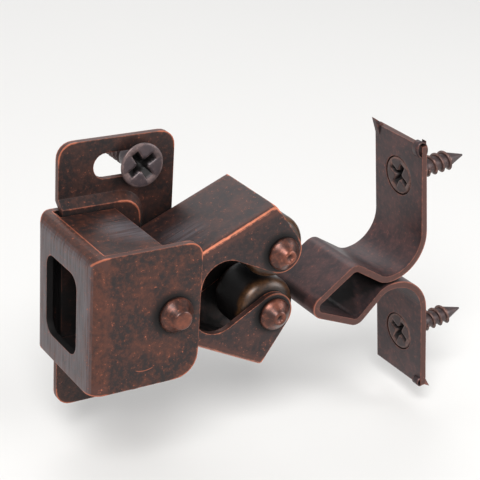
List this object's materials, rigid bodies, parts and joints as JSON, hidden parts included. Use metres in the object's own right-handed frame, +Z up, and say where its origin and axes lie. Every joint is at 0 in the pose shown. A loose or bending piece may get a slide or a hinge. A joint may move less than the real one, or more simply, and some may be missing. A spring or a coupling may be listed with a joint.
{
  "type": "double roller catch",
  "caption": "Double roller cabinet catch: a sheet box on a slotted plate holds two sprung roller arms that grip a folded spear strike on the door.",
  "frame": {"origin": "on the back face of the mounting plate, on its flat strip beside the raised pad, level with the arms' pivot", "axes": "+X from the catch towards the door, +Y into the wall that the plate is screwed to, +Z up along the plate's length"},
  "size_m": [0.0565, 0.0242, 0.035],
  "materials": {
    "dark_sheet": "satin antique copper plating on steel, rubbed bright at edges and bends",
    "rivet": "antique copper plating, brighter than the sheet",
    "spring_wire": "plain drawn wire",
    "roller": "smooth, near black, soft shine",
    "screw": "antique plated, rim rubbed bright"
  },
  "bodies": {
    "catch_body": {"housing": "dark_sheet", "mounting_plate": "dark_sheet", "pivot_rivet": "rivet", "spring": "spring_wire", "plate_screw_upper": "screw", "plate_screw_lower": "screw"},
    "upper_arm": {"upper_arm": "dark_sheet", "upper_roller_pin": "rivet"},
    "lower_arm": {"lower_arm": "dark_sheet", "lower_roller_pin": "rivet"},
    "upper_roller": {"upper_roller": "roller"},
    "lower_roller": {"lower_roller": "roller"},
    "strike": {"strike": "dark_sheet", "strike_screw_upper": "screw", "strike_screw_lower": "screw"}
  },
  "joints": [
    {"name": "upper_arm_swing", "type": "hinge", "parent": "catch_body", "child": "upper_arm", "pos_m": [-0.0043, -0.0081, 0], "axis": [0, -1, 0], "range_deg": [0, 14], "stiffness_Nm_per_rad": 0.02, "springref_deg": -4.58, "deforming": ["spring"]},
    {"name": "lower_arm_swing", "type": "hinge", "parent": "catch_body", "child": "lower_arm", "pos_m": [-0.0043, -0.0081, 0], "axis": [0, 1, 0], "range_deg": [0, 14], "stiffness_Nm_per_rad": 0.02, "springref_deg": -4.58, "deforming": ["spring"]},
    {"name": "upper_roller_spin", "type": "hinge", "parent": "upper_arm", "child": "upper_roller", "pos_m": [0.01009, -0.00788, 0.00423], "axis": [0, 1, 0], "continuous": true},
    {"name": "lower_roller_spin", "type": "hinge", "parent": "lower_arm", "child": "lower_roller", "pos_m": [0.01016, -0.00788, -0.00399], "axis": [0, 1, 0], "continuous": true},
    {"name": "door_swing", "type": "hinge", "parent": "catch_body", "child": "strike", "pos_m": [0.0398, -0.0089, 0.1072], "axis": [0, -1, 0], "range_deg": [-0.5, 25]}
  ]
}
